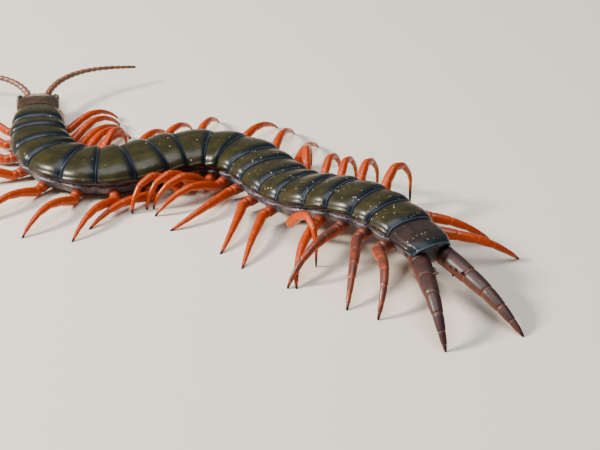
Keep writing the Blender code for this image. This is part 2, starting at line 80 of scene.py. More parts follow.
TRUNK_WIDTH = 12.0
TAIL_NARROWING, TAIL_TAPER = 0.34, 17.0
NECK_NARROWING, NECK_TAPER = 0.33, 9.0
FULL_SIZE_HALF_WIDTH = 5.5
PLATE_RISE, PLATE_LIFT = 0.40, 0.42
BELLY_DEPTH = 3.5
SKIN_SIDES = 112
SKIN_START, SKIN_STEP = -0.6, 0.22
SKIN_UNDER_PLATE = 0.30
FOLD_DEPTH = 0.055
FINE_GRAIN = 5200  # waves to the metre


def unit(v):
    """Vectors made one long, along the last axis."""
    v = np.asarray(v, float)
    return v / np.linalg.norm(v, axis=-1, keepdims=True)


def smooth_route(points, step=0.05):
    """Points every step along the natural cubic spline through the given points."""
    p = np.array(points, float)
    knots = np.concatenate([[0], np.cumsum(np.linalg.norm(np.diff(p, axis=0), axis=1))])
    h = np.diff(knots)
    n = len(p)
    lhs, rhs = np.eye(n), np.zeros((n, 3))
    for i in range(1, n - 1):
        lhs[i, i - 1 : i + 2] = h[i - 1], 2 * (h[i - 1] + h[i]), h[i]
        rhs[i] = 6 * ((p[i + 1] - p[i]) / h[i] - (p[i] - p[i - 1]) / h[i - 1])
    bend = np.linalg.solve(lhs, rhs)
    t = np.arange(0, knots[-1], step)
    i = np.clip(np.searchsorted(knots, t, side="right") - 1, 0, n - 2)
    a, b, w = (knots[i + 1] - t)[:, None], (t - knots[i])[:, None], h[i][:, None]
    curve = (bend[i] * a**3 + bend[i + 1] * b**3) / (6 * w)
    return curve + (p[i] / w - bend[i] * w / 6) * a + (p[i + 1] / w - bend[i + 1] * w / 6) * b


def read_off(x, at, rows):
    """Rows of three numbers read off at each x, between the rows at the rising values at."""
    return np.stack([np.interp(x, at, rows[:, k]) for k in range(3)], axis=-1)


ROUTE = smooth_route(SPINE_ROUTE) - np.array([*BODY_CENTRE, 0.0])
ROUTE_S = np.concatenate([[0], np.cumsum(np.linalg.norm(np.diff(ROUTE, axis=0), axis=1))]) - TAIL_START
ROUTE_WAY = np.gradient(ROUTE, axis=0)


def along(s):
    """Place, forward, left and up on the body's line at each distance s from the tail."""
    s = np.asarray(s, float)
    place, forward = read_off(s, ROUTE_S, ROUTE), unit(read_off(s, ROUTE_S, ROUTE_WAY))
    left = unit(np.cross((0.0, 0.0, 1.0), forward))
    return place, forward, left, np.cross(forward, left)


def set_out(s, left, up):
    """Points at sideways and upward offsets from the body's line, all arrays of one shape."""
    place, _, side, above = along(s)
    return place + side * np.asarray(left)[..., None] + above * np.asarray(up)[..., None]


def half_width(s):
    """Half the trunk's width at s: full at mid body, narrowing to the tail and to the neck."""
    s = np.asarray(s, float)
    tail = TAIL_NARROWING * np.exp(-np.maximum(s, 0) / TAIL_TAPER)
    neck = NECK_NARROWING * np.exp(-np.maximum(TRUNK_LENGTH - s, 0) / NECK_TAPER)
    return TRUNK_WIDTH / 2 * (1 - tail - neck)


def scale_at(s):
    """Size of legs and flanks at s, by the trunk's width there."""
    return 0.35 + 0.65 * half_width(s) / FULL_SIZE_HALF_WIDTH


def belly_depth(half):
    """Depth of the belly below the body's line, less where the trunk is narrow."""
    return BELLY_DEPTH * (0.45 + 0.55 * half / (TRUNK_WIDTH / 2))


def ease(x, low, high):
    """A smooth step from nought at low to one at high."""
    t = np.clip((np.asarray(x, float) - low) / (high - low), 0, 1)
    return t * t * (3 - 2 * t)


def circle(level, above, count, squeeze=1.0):
    """Rings of count directions in the plane of level and above, flattened by squeeze."""
    turn = np.linspace(0, 2 * math.pi, count, endpoint=False)[:, None]
    return level[..., None, :] * np.cos(turn) + above[..., None, :] * np.sin(turn) * squeeze


def lay_surface(name, grid, rows=None, ends=True):
    """A mesh from a grid of points in millimetres, whose last column joins the first.

    ends closes the first and last rows with a fan. The UV map runs with the column from nought
    to one in u, and with rows in v.
    """
    r_count, c_count = grid.shape[:2]
    rows = np.linspace(0, 1, r_count) if rows is None else np.asarray(rows, float)
    r, c = np.meshgrid(np.arange(r_count - 1), np.arange(c_count), indexing="ij")
    near, on = r * c_count + c, r * c_count + (c + 1) % c_count
    quads = np.stack([near, on, on + c_count, near + c_count], axis=-1).reshape(-1, 4)
    u0, u1, v0, v1 = c / c_count, (c + 1) / c_count, rows[r], rows[r + 1]
    quad_uv = np.stack([u0, v0, u1, v0, u1, v1, u0, v1], axis=-1).reshape(-1, 4, 2)
    points = grid.reshape(-1, 3)
    faces, uvs = quads.tolist(), quad_uv.reshape(-1, 2)
    if ends:
        k = np.arange(c_count)
        for row in (0, r_count - 1):
            middle = len(points)
            points = np.vstack([points, grid[row].mean(axis=0)])
            ring = row * c_count + k
            ahead = row * c_count + (k + 1) % c_count
            faces += np.stack([ring, ahead, np.full(c_count, middle)], axis=-1).tolist()
            fan = np.stack([k / c_count, (k + 1) / c_count, (k + 0.5) / c_count], axis=-1)
            uvs = np.vstack([uvs, np.stack([fan, np.full(fan.shape, rows[row])], -1).reshape(-1, 2)])
    mesh = bpy.data.meshes.new(name)
    mesh.from_pydata((points * MM).tolist(), [], faces)
    mesh.uv_layers.new(name="UVMap").data.foreach_set("uv", uvs.astype(np.float32).ravel())
    whole = bmesh.new()
    whole.from_mesh(mesh)
    bmesh.ops.remove_doubles(whole, verts=whole.verts, dist=1e-7)
    bmesh.ops.recalc_face_normals(whole, faces=whole.faces)
    whole.to_mesh(mesh)
    whole.free()
    mesh.shade_smooth()
    return mesh


def place_piece(name, meshes, finish, replaced=()):
    """One piece of the model from one or more meshes, riding on the body in place of CAD nodes."""
    piece = bpy.data.objects.new(name, meshes[0])
    bpy.context.scene.collection.objects.link(piece)
    if len(meshes) > 1:
        whole = bmesh.new()
        for mesh in meshes:
            whole.from_mesh(mesh)
        whole.to_mesh(piece.data)
        whole.free()
        piece.data.shade_smooth()
    piece.data.materials.clear()
    piece.data.materials.append(finish)
    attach(piece, "root")
    if replaced:
        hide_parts(*replaced)
    return piece


def round_section(corners, count):
    """A closed smooth ring of count points through the corners, evenly spaced by their number.

    Each stretch between two corners is a Catmull-Rom cubic of its four nearest corners.
    """
    n = len(corners)
    t = np.arange(count) * n / count
    i = t.astype(int)
    f = (t - i)[:, None]
    a, b, c, d = (corners[(i + k) % n] for k in (-1, 0, 1, 2))
    curve = 2 * b + (c - a) * f + (2 * a - 5 * b + 4 * c - d) * f**2
    return 0.5 * (curve + (3 * b - a - 3 * c + d) * f**3)


def skin_section(s, segment, back):
    """The skin's ring at s as (left, up) pairs: under the plate, down the flank, flat belly.

    back is the share of the way through the segment. The flank pinches in at each join and
    swells where the legs stand, and the belly is nearly flat.
    """
    half = float(half_width(s))
    rise = PLATE_RISE * half
    depth = belly_depth(half)
    pinch = float(0.84 + 0.16 * math.sin(math.pi * min(max(back, 0.0), 1.0)) ** 0.6)
    flank = pinch * (0.86 if segment == SEGMENTS - 1 else 1.0)
    side = [
        (half * 0.90 * math.sin(a), rise * math.cos(a) ** 0.9 - SKIN_UNDER_PLATE)
        for a in np.radians((30, 58, 80))
    ]
    side += [
        (half * 0.93, -0.52),
        (half * 0.885 * flank, -1.0),
        (half * 0.93 * flank, -0.42 * depth),
        (half * 0.81 * flank, -0.78 * depth),
        (half * 0.56, -0.99 * depth),
    ]
    mirrored = [(-x, z) for x, z in reversed(side)]
    corners = [(0.0, rise - SKIN_UNDER_PLATE), *side, (0.0, -1.02 * depth), *mirrored]
    return round_section(np.array(corners), SKIN_SIDES)


def trunk_skin():
    """Rings of the whole trunk's skin, with fine lengthwise and crosswise folds, and their v."""
    stations = np.arange(SKIN_START, TRUNK_LENGTH - 0.1, SKIN_STEP)
    rings, v = [], []
    for s in stations:
        segment = int(np.clip(np.searchsorted(-np.array(REAR), -s, side="left"), 0, SEGMENTS - 1))
        back = (FRONT[segment] - s) / PLATE_LENGTHS[segment]
        ring = skin_section(s, segment, back)
        blunt = 1 - 0.45 * float(ease(-s, 0.0, 0.7))
        turn = np.linspace(0, 2 * math.pi, SKIN_SIDES, endpoint=False)
        side = np.clip(np.abs(np.sin(turn)), 0, 1) ** 2
        fold = np.sin(19 * turn + 0.9 * math.sin(1.7 * s)) * 0.6 + math.sin(8.3 * s) * 0.5
        fold += np.sin(31 * turn - 2.2 * s) * 0.35
        ring = ring * blunt * (1 + (FOLD_DEPTH * fold * side / float(half_width(s)))[:, None])
        rings.append(set_out(np.full(SKIN_SIDES, s), ring[:, 0], ring[:, 1]))
        v.append(segment + back)
    return np.array(rings), v


def shader(name):
    """A new material, its Principled shader and its node tree."""
    made = bpy.data.materials.new(name)
    made.use_nodes = True
    tree = made.node_tree
    return made, tree.nodes["Principled BSDF"], tree


def wire(tree, node, inputs):
    """The inputs of a node, by name or number, each set to a value or linked to an output."""
    for key, value in inputs.items():
        if isinstance(value, bpy.types.NodeSocket):
            tree.links.new(value, node.inputs[key])
        else:
            node.inputs[key].default_value = value


def add(tree, kind, inputs=(), **settings):
    """A new node of that kind with its settings and its inputs."""
    made = tree.nodes.new(kind)
    for key, value in settings.items():
        setattr(made, key, value)
    wire(tree, made, dict(inputs))
    return made


def noise(tree, vector, scale, detail=3.0, rough=0.55):
    """The value of a noise texture at that many waves to the metre."""
    inputs = {"Vector": vector, "Scale": scale, "Detail": detail, "Roughness": rough}
    return add(tree, "ShaderNodeTexNoise", inputs).outputs["Fac"]


def sum_up(tree, operation, a, b=0.0, c=0.0, clamp=False):
    """One arithmetic step on two or three values."""
    made = add(tree, "ShaderNodeMath", {0: a, 1: b, 2: c}, operation=operation, use_clamp=clamp)
    return made.outputs[0]


def ramp(tree, value, low, high):
    """A smooth step of a value from nought at low to one at high."""
    inputs = {"Value": value, "From Min": low, "From Max": high}
    made = add(tree, "ShaderNodeMapRange", inputs, interpolation_type="SMOOTHSTEP")
    return made.outputs["Result"]


def mix(tree, share, a, b):
    """Two colours mixed by a share of the second."""
    a, b = (c if isinstance(c, bpy.types.NodeSocket) else (*c, 1.0) for c in (a, b))
    return add(tree, "ShaderNodeMix", {0: share, 6: a, 7: b}, data_type="RGBA").outputs[2]


def relief(tree, principled, height, depth):
    """A bump of that depth in metres on the shader's normal."""
    bump = add(tree, "ShaderNodeBump", {"Height": height, "Distance": depth, "Strength": 1.0})
    tree.links.new(bump.outputs["Normal"], principled.inputs["Normal"])


def skin_finish():
    """Grey-mauve skin mottled with bluish grey, with fine creases and a damp sheen."""
    made, principled, tree = shader("trunk skin")
    place = add(tree, "ShaderNodeTexCoord").outputs["Object"]
    mottle = noise(tree, place, 420, 4)
    crease = noise(tree, place, 2600, 3, 0.6)
    colour = mix(tree, ramp(tree, mottle, 0.35, 0.7), (0.030, 0.034, 0.052), (0.095, 0.060, 0.062))
    colour = mix(tree, ramp(tree, crease, 0.5, 0.75), colour, (0.12, 0.12, 0.15))
    wire(tree, principled, {"Base Color": colour, "Roughness": 0.42})
    relief(tree, principled, crease, 0.00006)
    return made


TRUNK_NODES = [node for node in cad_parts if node.startswith("trunk_segments")]
soft_skin = skin_finish()
skin, skin_v = trunk_skin()
place_piece("trunk_skin", [lay_surface("trunk_skin", skin, skin_v)], soft_skin, TRUNK_NODES)

# Side plates and breathing holes
# Small dark scales of horn lie in the soft flank round each leg's root. Segments 3, 5, 8 and
# every second one after it also have a breathing hole, a slit in a low oval rim.
# Each row: share along the segment, corner, half length, half depth, height
SCALES = (
    (0.24, 5.00, 0.100, 0.34, 0.13),
    (0.42, 5.05, 0.070, 0.26, 0.12),
    (0.74, 5.10, 0.095, 0.34, 0.13),
    (0.20, 6.05, 0.070, 0.40, 0.12),
    (0.84, 6.10, 0.060, 0.42, 0.12),
    (0.30, 7.10, 0.090, 0.26, 0.10),
)
HOLES_IN = (2, 4, 7, 9, 11, 13, 15, 17, 19)
HOLE = (0.60, 4.92, 0.075, 0.20, 0.16)
CORNERS = 18  # in the skin's section, counted from the middle of the back


def on_skin(s, corner, sign):
    """Points of the skin at distance s and at a corner number of its section, by blending rings."""
    row = np.clip((s - SKIN_START) / SKIN_STEP, 0, len(skin) - 1.001)
    col = sign * corner * SKIN_SIDES / CORNERS
    r, c = np.floor(row).astype(int), np.floor(col).astype(int)
    fr, fc = (row - r)[..., None], (col - c)[..., None]
    near, on = c % SKIN_SIDES, (c + 1) % SKIN_SIDES
    low = skin[r, near] * (1 - fc) + skin[r, on] * fc
    return low * (1 - fr) + (skin[r + 1, near] * (1 - fc) + skin[r + 1, on] * fc) * fr


def scale(i, sign, shape, dish=0.0):
    """A low oval scale on the flank: share along the segment, corner, two half sizes, height.

    Height falls off with the fourth power of the distance from the middle, and dish sinks the
    middle below the rim.
    """
    share, corner, length, depth, height = shape
    rim, turn = np.meshgrid(np.linspace(0.02, 1, 12), np.linspace(0, 2 * math.pi, 25)[:-1], indexing="ij")
    s = FRONT[i] - (share + length * rim * np.cos(turn)) * PLATE_LENGTHS[i]
    foot = on_skin(s, corner + depth * rim * np.sin(turn), sign)
    place, _, _, above = along(s)
    out = unit(foot - (place - above * 1.1))
    lift = height * (1 - rim**4) - 0.05 * rim**8 - dish * np.exp(-((rim / 0.45) ** 2))
    return lay_surface("scale", foot + out * lift[..., None])


def scale_finish():
    """Dark brown horn, glossy, mottled with a warmer brown."""
    made, principled, tree = shader("side plate")
    place = add(tree, "ShaderNodeTexCoord").outputs["Object"]
    mottle = noise(tree, place, 900, 3)
    colour = mix(tree, ramp(tree, mottle, 0.35, 0.7), (0.020, 0.014, 0.012), (0.085, 0.038, 0.022))
    wire(tree, principled, {"Base Color": colour, "Roughness": 0.24})
    relief(tree, principled, noise(tree, place, FINE_GRAIN, 2), 0.00001)
    return made


side_horn = scale_finish()
for side, sign in (("left", 1), ("right", -1)):
    scales = [scale(i, sign, shape) for i in range(SEGMENTS - 1) for shape in SCALES]
    place_piece(f"side_plates_{side}", scales, side_horn)
    holes = [scale(i, sign, HOLE, dish=0.22) for i in HOLES_IN]
    place_piece(f"breathing_holes_{side}", holes, side_horn)

# Belly plates
# A smooth pale-brown horn plate under each segment, squarish, with two fine grooves along it.
# Each lies against the skin between its pair of legs and ends short of the next.
STERNITE_SHARE = 0.60


def closed_shell(name, outer, inner, rows=None):
    """A thin closed plate between two open grids of one shape, outer and inner.

    Each row runs across the outer face and back across the inner one as one ring, and the first
    and last rows close halfway between the two faces.
    """
    grid = np.concatenate([outer, inner[:, ::-1]], axis=1)
    half = [(outer[k] + inner[k]) / 2 for k in (0, -1)]
    first, last = (np.concatenate([edge, edge[::-1]])[None] for edge in half)
    rows = np.linspace(0, 1, len(outer)) if rows is None else rows
    rows = [rows[0], *rows, rows[-1]]
    return lay_surface(name, np.concatenate([first, grid, last]), rows, ends=False)


def sternite(i):
    """Belly plate of segment i: rounded corners, two grooves and a faint swell."""
    b, a = np.meshgrid(np.linspace(0, 1, 26), np.linspace(-1, 1, 33), indexing="ij")
    s = FRONT[i] - (0.08 + 0.84 * b) * PLATE_LENGTHS[i]
    half = half_width(s)
    depth = belly_depth(half)
    corner = 1 - 0.14 * np.abs(2 * b - 1) ** 6
    groove = np.exp(-(((np.abs(a) - 0.42) / 0.06) ** 2)) * np.sin(math.pi * b) ** 0.3
    bulge = 0.16 * (1 - a**2) * np.sin(math.pi * b) ** 0.5 - 0.06 * groove
    across = a * half * STERNITE_SHARE * corner
    base = -1.0 * depth + 0.12 * np.abs(a) ** 3
    outer = set_out(s, across, base - 0.10 - bulge)
    inner = set_out(s, across * 0.97, base + 0.25)
    return closed_shell(f"belly_plate_{i + 1:02d}", outer, inner)


def sternite_finish():
    """Pale olive-brown horn, a little see-through in life, so mottled and soft in its gloss."""
    made, principled, tree = shader("belly plate")
    place = add(tree, "ShaderNodeTexCoord").outputs["Object"]
    mottle = noise(tree, place, 500, 4)
    colour = mix(tree, ramp(tree, mottle, 0.3, 0.7), (0.16, 0.12, 0.05), (0.26, 0.17, 0.07))
    wire(tree, principled, {"Base Color": colour, "Roughness": 0.34})
    relief(tree, principled, noise(tree, place, FINE_GRAIN, 2), 0.000012)
    return made


belly = sternite_finish()
for i in range(SEGMENTS):
    place_piece(f"belly_plate_{i + 1:02d}", [sternite(i)], belly)

# Back plates
# Twenty-one arched plates of hard dark horn, long and short in turn. Each is a thin shell with a
# turned-up rim down both sides, and its rear edge lies over the front of the plate behind.
PLATE_OVERLAP = 0.34
PLATE_THICK = 0.26
RIM_ROLL = 0.11
REAR_ROLL = 0.26
SUTURE_AT = 0.26
SUTURE_U = 0.0425
SAND_WAVES = 2100.0
SANDY_FROM = 12
DARK_BAND = (0.003, 0.006, 0.010)
PLATE_ROWS, PLATE_COLUMNS = 48, 97


def plate_point(i, a, b, drop=0.0):
    """Points of back plate i: a from -1 at its right side to 1 at its left, b from front to rear.

    Across, the plate is half an ellipse. Along, it swells from a low front to a raised rear lip,
    and the last plate's rear edge runs out to a blunt rounded point.
    """
    length = PLATE_LENGTHS[i]
    last = i == SEGMENTS - 1
    reach = length + (PLATE_OVERLAP if not last else 0.35 + 1.35 * (1 - np.abs(a) ** 2.6))
    start = 0.15 if i else -0.45
    s = FRONT[i] - start - b * (reach - start)
    half = half_width(np.maximum(s, 0))
    widening = 0.035 * b - (0.075 * ease(b, 0.72, 1.0) if last else 0)
    wide = 0.930 + 0.05 * np.sin(math.pi * b) + widening
    corner = 1 - 0.035 * np.clip((b - 0.93) / 0.07, 0, 1) ** 2 - 0.05 * np.clip((0.08 - b) / 0.08, 0, 1)
    angle = a * math.pi / 2
    swell = PLATE_LIFT * (0.10 + 0.85 * ease(b, 0.0, 0.80)) + 0.12 * np.sin(math.pi * b) ** 0.8
    rise = PLATE_RISE * half
    side = np.abs(np.sin(angle))
    up = rise * np.cos(angle) ** 0.92 + swell - REAR_ROLL * np.clip((b - 0.76) / 0.24, 0, 1) ** 2
    roll = np.exp(-(((side - 0.992) / 0.010) ** 2)) * RIM_ROLL * (0.35 + 0.65 * (i > 3))
    suture = np.exp(-(((side - SUTURE_AT) / 0.014) ** 2)) * 0.040
    lip = 0.055 * np.exp(-(((b - 0.980) / 0.011) ** 2)) - 0.045 * np.exp(-(((b - 0.950) / 0.012) ** 2))
    up = up - suture * (0.4 + 0.6 * np.sin(math.pi * b)) + lip - drop
    left = half * wide * corner * np.sin(angle) * (1 + roll * 0.25) * (1 - drop * 0.045)
    return set_out(s, left, up - 0.42 * side**14 + roll * 0.5)


def back_plate(i):
    """One back plate as a closed thin shell, its UV v running from front to rear."""
    edge = 1 - (1 - np.linspace(0, 1, PLATE_ROWS)) ** 1.25
    a = np.sin(np.linspace(-1, 1, PLATE_COLUMNS) * math.pi / 2 * 0.985)
    b, a = np.meshgrid(edge, np.arcsin(a) / (math.pi / 2), indexing="ij")
    outer, inner = plate_point(i, a, b), plate_point(i, a, b, PLATE_THICK)
    return closed_shell(f"back_plate_{i + 1:02d}", outer, inner, rows=edge)


def specks_group():
    """A node group that scatters grains: its mask is one on a grain and nought beside it."""
    group = bpy.data.node_groups.new("sand grains", "ShaderNodeTree")
    for name, kind, way in (
        ("Vector", "NodeSocketVector", "INPUT"),
        ("Scale", "NodeSocketFloat", "INPUT"),
        ("Rarity", "NodeSocketFloat", "INPUT"),
        ("Mask", "NodeSocketFloat", "OUTPUT"),
    ):
        group.interface.new_socket(name, in_out=way, socket_type=kind)
    given = group.nodes.new("NodeGroupInput").outputs
    result = group.nodes.new("NodeGroupOutput")
    cells = add(group, "ShaderNodeTexVoronoi", {"Vector": given["Vector"], "Scale": given["Scale"]})
    ragged = noise(group, given["Vector"], FINE_GRAIN, 2)
    away = sum_up(group, "MULTIPLY_ADD", ragged, 0.22, cells.outputs["Distance"])
    kind = add(group, "ShaderNodeSeparateColor", {"Color": cells.outputs["Color"]})
    size = sum_up(group, "MULTIPLY_ADD", kind.outputs["Green"], 0.15, 0.23)
    near = ramp(group, sum_up(group, "SUBTRACT", size, away), 0.0, 0.05)
    pick = sum_up(group, "GREATER_THAN", kind.outputs["Red"], given["Rarity"])
    group.links.new(sum_up(group, "MULTIPLY", near, pick), result.inputs["Mask"])
    return group


SAND = specks_group()


def plate_finish(name, field, streak, band, rarity, gloss=0.22):
    """Glossy horn: a mottled field, a dark band along the rear edge with a thin painted highlight
    line at the edge itself, and a near-black strip at the front, partly the plate's own dark margin
    and partly painted shade under the plate ahead.

    Two fine dark grooves run along it. rarity is how rarely a grain of sand lies on it, from
    nought, thickly, to one, never, and gloss is the strength of its reflections.
    """
    made, principled, tree = shader(name)
    coordinates = add(tree, "ShaderNodeTexCoord")
    place = coordinates.outputs["Object"]
    spot = add(tree, "ShaderNodeSeparateXYZ", {0: coordinates.outputs["UV"]})
    v = spot.outputs["Y"]
    off_middle = sum_up(tree, "ABSOLUTE", sum_up(tree, "SUBTRACT", spot.outputs["X"], 0.25))
    off_groove = sum_up(tree, "ABSOLUTE", sum_up(tree, "SUBTRACT", off_middle, SUTURE_U))
    mottle = noise(tree, place, 520, 5, 0.6)
    fine = noise(tree, place, 2400, 3)
    colour = mix(tree, ramp(tree, mottle, 0.36, 0.68), field, streak)
    wobble = sum_up(tree, "MULTIPLY_ADD", mottle, 0.06, v)
    colour = mix(tree, sum_up(tree, "MULTIPLY", ramp(tree, off_groove, 0.0035, 0.001), 0.65), colour, band)
    colour = mix(tree, ramp(tree, wobble, 0.72, 0.95), colour, band)
    # Painted highlight: a thin bluish line along the very rear edge, broken up by the mottle.
    rim = sum_up(tree, "MULTIPLY", ramp(tree, v, 0.962, 0.975), ramp(tree, mottle, 0.2, 0.6))
    colour = mix(tree, rim, colour, (0.038, 0.054, 0.072))
    # Partly painted shade: the front strip is near black, the plate's own dark margin darkened further as
    # the shade under the plate ahead, and it is also made rougher.
    front_margin_and_shade = ramp(tree, v, 0.15, 0.04)
    colour = mix(tree, front_margin_and_shade, colour, (0.002, 0.002, 0.003))
    inputs = {"Vector": place, "Scale": SAND_WAVES, "Rarity": rarity}
    speck = add(tree, "ShaderNodeGroup", inputs, node_tree=SAND)
    colour = mix(tree, speck.outputs["Mask"], colour, (0.50, 0.39, 0.24))
    rough = sum_up(tree, "MULTIPLY_ADD", fine, 0.20, 0.24)
    rough = sum_up(tree, "MULTIPLY_ADD", speck.outputs["Mask"], 0.4, rough)
    rough = sum_up(tree, "MULTIPLY_ADD", front_margin_and_shade, 0.4, rough, clamp=True)
    wire(tree, principled, {
        "Base Color": colour, "Roughness": rough, "Specular IOR Level": gloss,
        "Coat Weight": 0.10, "Coat Roughness": 0.14,
    })
    pits = sum_up(tree, "MULTIPLY_ADD", speck.outputs["Mask"], 1.5, fine)
    relief(tree, principled, pits, 0.000022)
    return made


olive = plate_finish("back plate", (0.016, 0.014, 0.004), (0.029, 0.024, 0.006), DARK_BAND, 0.95)
sandy = plate_finish("sandy back plate", (0.017, 0.014, 0.005), (0.032, 0.025, 0.008), DARK_BAND, 0.72)
rear_horn = plate_finish(
    "last back plate", (0.018, 0.012, 0.011), (0.034, 0.020, 0.016), (0.004, 0.009, 0.013), 0.80, 0.12
)
for i in range(SEGMENTS):
    finish = rear_horn if i == SEGMENTS - 1 else (sandy if i >= SANDY_FROM else olive)
    place_piece(f"back_plate_{i + 1:02d}", [back_plate(i)], finish)

# Walking legs
# Forty jointed legs of bright orange-red horn. Each has a short ring at its root, five tapering
# lengths drawn in a little at their ends and a dark claw. A painted highlight rings each joint,
# and painted shade darkens the upper side and the root.
COXA_AT, COXA_SHIFT_POWER = (0.52, 0.80), 12
COXA_DROP = 2.35
COXA_RADIUS = 0.88
COXA_OUT = 0.55
COXA_ROOT, COXA_FLANK = 0.42, 0.92
COXA_TURN, COXA_DROOP = 0.15, 0.16
TROCHANTER = 0.75
LEG_GAP = 0.32
LEG_SIDES, LENGTH_ROWS = 20, 22
PODOMERES = (3.6, 2.9, 2.8, 2.5, 1.5, 1.1)
REAR_REACH, REAR_GIRTH = 0.22, 0.34
LEG_RADIUS = 0.86
FOOT_RADIUS = 0.13
BEND_SHARES = (0.16, 0.30, 0.26, 0.16, 0.12)
WALK_TAPER = (1.0, 0.90, 0.76, 0.60, 0.46, 0.34)
SHADED_REAR_FROM = 17
POSES = {
    "left": {
        "swing": (34, 24, 16, 12, 5, 21, 39, 69, 65, 55, 44, 11, -12, -43, -40, -62, -29, 3, -38, -51),
        "lift": (18, 22, 18, 22, 18, 22, 18, 9, 48, 48, 42, 25, 6, 3, 0, 46, -4, 5, -5, 6),
        "curl": (9, 7, 6, 4, 1, -2, 1, 15, 38, 0, -38, -31, -38, -16, -2, -36, 25, -20, -6, -38),
    },
    "right": {
        "swing": (39, 42, 40, 28, 9, -11, -60, -55, -52, -25, -17, 26, 39, 48, 26, 17, 9, 0, -39, -26),
        "lift": (18, 24, 18, 27, 20, 48, 9, 23, 24, 20, 18, 20, 16, 48, 48, 48, 48, 48, -4, -4),
        "curl": (8, 6, 4, 2, -5, -3, 38, 0, -4, 0, 2, 12, 10, 38, 38, 38, 38, 38, -32, -36),
    },
}


def coxa_place(i):
    """Distance along the body at which segment i carries its legs."""
    share = COXA_AT[0] + (COXA_AT[1] - COXA_AT[0]) * (i / (SEGMENTS - 2)) ** COXA_SHIFT_POWER
    return FRONT[i] - share * PLATE_LENGTHS[i]


def coxa_frame(i, side):
    """Centre of a leg's root inside the trunk, its outward direction, and the root's length."""
    sign = 1 if side == "left" else -1
    s = coxa_place(i)
    turned = COXA_TURN * math.radians(POSES[side]["swing"][i])
    _, forward, left, up = along(s)
    out = unit(sign * left * math.cos(turned) + forward * math.sin(turned) - up * COXA_DROOP)
    reach = float(half_width(s)) * COXA_ROOT
    root = set_out(s, sign * reach, -COXA_DROP * float(scale_at(s)))
    return root, out, float(half_width(s)) * COXA_FLANK + COXA_OUT - reach


def chain(start, heading, first, bend, lengths, hook):
    """Joint places of a leg in its upright plane; its heading turns by hook, root to tip."""
    joints, down = [np.array(start, float)], first
    for k, length in enumerate(lengths):
        turn = heading + hook * (k / (len(lengths) - 1) - 0.5)
        flat = math.cos(down) * length
        step = (flat * math.cos(turn), flat * math.sin(turn), math.sin(down) * length)
        joints.append(joints[-1] + np.array(step))
        if k < len(BEND_SHARES):
            down -= bend * BEND_SHARES[k]
    return joints


def standing_chain(start, heading, first, lengths, hook):
    """The chain whose whole bend brings the claw's tip down to the floor."""
    low, high = 0.0, math.radians(140)
    for _ in range(50):
        bend = (low + high) / 2
        if chain(start, heading, first, bend, lengths, hook)[-1][2] > 0:
            low = bend
        else:
            high = bend
    joints = chain(start, heading, first, bend, lengths, hook)
    joints[-1][2] = 0.0
    return joints


def leg_surface(name, root, out, root_length, root_radius, joints, radius, taper):
    """A jointed leg from inside the flank to its claw, as one closed surface.

    The path runs from the root through the joints, its corners rounded by averaging nearby
    places. Each length tapers most of the way to the next one's radius, swells a little at its
    middle and draws in at its ends. V counts the lengths.
    """
    knots = np.array([root, root + out * root_length, *joints])
    spans = len(knots) - 1
    t = np.linspace(0, spans, spans * LENGTH_ROWS + 1)
    shifts = (-0.14, -0.07, 0.0, 0.07, 0.14)
    path = sum(read_off(np.clip(t + d, 0, spans), np.arange(spans + 1), knots) for d in shifts) / 5
    path[-1] = knots[-1]
    k = np.minimum(t.astype(int), spans - 1)
    f = t - k
    sizes = np.array([root_radius, radius * 0.96, *(radius * np.array(taper))])
    onward = sizes[np.minimum(k + 1, spans - 1)]
    body = 0.95 + 0.06 * np.sin(math.pi * f) ** 0.8
    collar = 1 - 0.11 * np.exp(-(((f - 1) / 0.035) ** 2)) - 0.09 * np.exp(-((f / 0.035) ** 2))
    r = (sizes[k] + (onward - sizes[k]) * 0.85 * f) * body * collar
    root_ring = k == 0
    r = np.where(root_ring, root_radius * (1.02 - 0.12 * ease(f, 0.85, 1.0)), r)
    claw = k == spans - 1
    r = np.where(claw, sizes[-1] * (1 - f) ** 0.7 * 0.9 + FOOT_RADIUS * 0.9 * f, r)
    ahead = unit(np.gradient(path, axis=0))
    level = np.cross((0.0, 0.0, 1.0), ahead)
    for n in range(1, len(level)):
        if np.dot(level[n], level[n - 1]) < 0:
            level[n] = -level[n]
    level = unit(level + 1e-6)
    ring = circle(level, np.cross(ahead, level), LEG_SIDES)
    grid = path[:, None] + r[:, None, None] * ring
    grid[..., 2] = np.maximum(grid[..., 2], 0.0)
    return lay_surface(name, grid, rows=t)


def walking_leg(i, side):
    """One walking leg on its root, standing on the floor."""
    sign = 1 if side == "left" else -1
    root, out, length = coxa_frame(i, side)
    s = coxa_place(i)
    _, forward, left, _ = along(s)
    swing, lift, curl = (math.radians(POSES[side][key][i]) for key in ("swing", "lift", "curl"))
    aim = sign * left * math.cos(swing) + forward * math.sin(swing)
    size = float(scale_at(s))
    girth = size * (1 + REAR_GIRTH * max(0, i - 15) / 4)
    reach = size * (1 + REAR_REACH * max(0, i - 16) / 3)
    start = root + out * (length + LEG_GAP)
    knee = start + out * TROCHANTER * size
    lengths = [p * reach for p in PODOMERES]
    joints = standing_chain(knee, math.atan2(aim[1], aim[0]), lift, lengths, sign * curl)
    root_radius = COXA_RADIUS * girth * 1.05
    return leg_surface(
        f"leg_{side}_{i + 1:02d}_horn", root, out, length + LEG_GAP / 2, root_radius,
        joints, LEG_RADIUS * girth, WALK_TAPER,
    )


